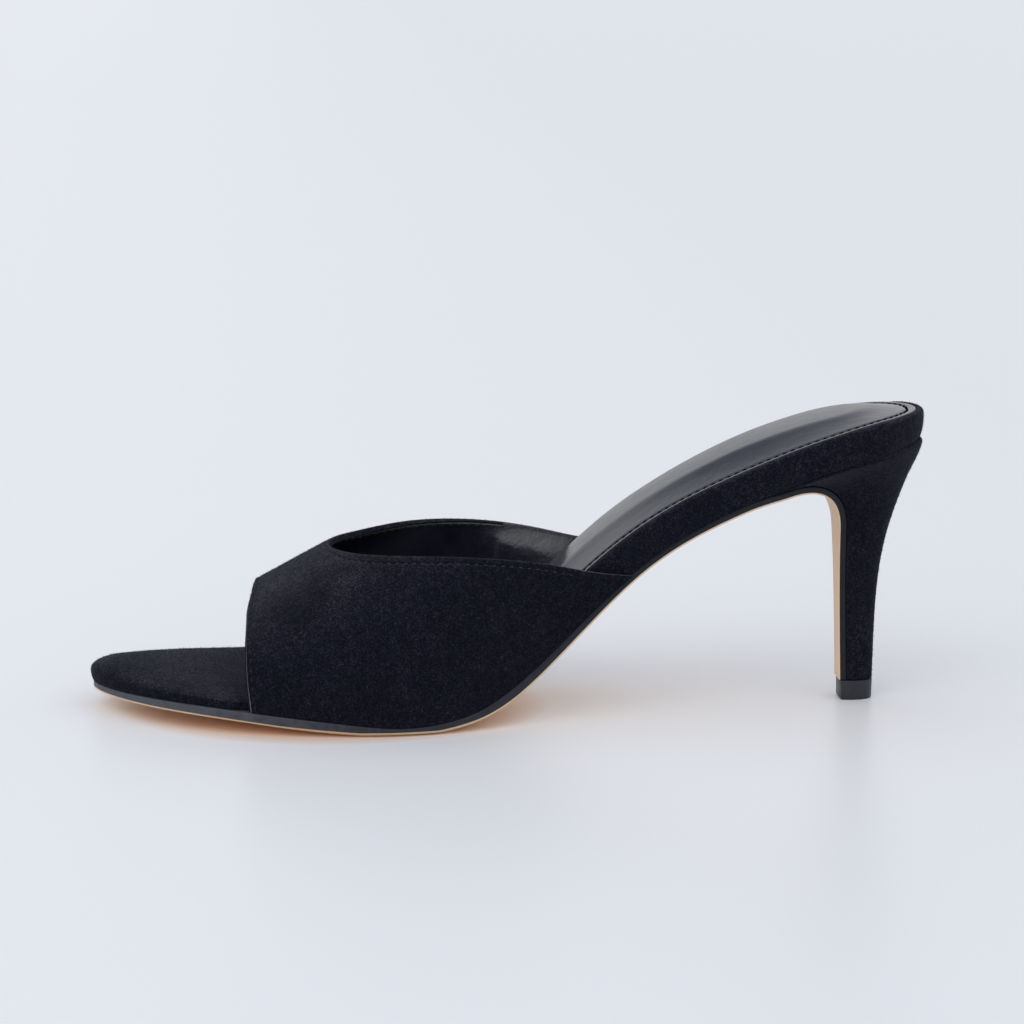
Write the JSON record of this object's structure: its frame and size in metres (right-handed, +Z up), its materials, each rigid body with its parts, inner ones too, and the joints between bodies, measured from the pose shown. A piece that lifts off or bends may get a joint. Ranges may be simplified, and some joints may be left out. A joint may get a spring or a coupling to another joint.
{
  "type": "heeled sandal",
  "caption": "Slip-on heeled sandal: open toe, one hollow suede band over the forefoot, padded insole on a thin arched sole and a slim high heel.",
  "frame": {"origin": "middle of the shoe's box, on the floor", "axes": "+X from heel to toe, +Y towards the outer side of the left foot, +Z up from the floor"},
  "size_m": [0.2254, 0.0732, 0.0814],
  "materials": {
    "suede": "short brushed nap, matte",
    "sock": "smooth satin",
    "outsole": "painted dark edge over a beige sheet sole",
    "top_piece": "semi-matte"
  },
  "bodies": {
    "root": {"outsole": "outsole", "footbed": "suede", "sock": "sock", "upper": "suede", "heel": "suede", "top_piece": "top_piece"}
  },
  "joints": []
}
